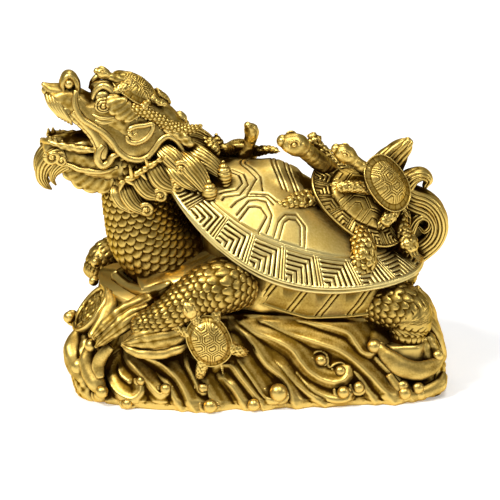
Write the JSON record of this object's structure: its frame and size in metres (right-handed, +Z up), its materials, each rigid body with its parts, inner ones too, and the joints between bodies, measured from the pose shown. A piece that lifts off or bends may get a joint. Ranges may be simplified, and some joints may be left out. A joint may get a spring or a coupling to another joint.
{
  "type": "dragon turtle figure",
  "caption": "Cast brass table figure: a dragon-headed turtle with a patterned shell crosses breaking waves, with little turtles climbing on it.",
  "frame": {"origin": "middle of the figure's outline seen from above, at the level it stands on", "axes": "+X from the head to the tail, +Y to the figure's right flank, +Z up"},
  "size_m": [0.148, 0.0914, 0.1155],
  "materials": {
    "brass": "satin cast brass, darker in the recesses and brushed bright on the raised parts"
  },
  "bodies": {
    "root": {"dragon_turtle": "brass"}
  },
  "joints": []
}
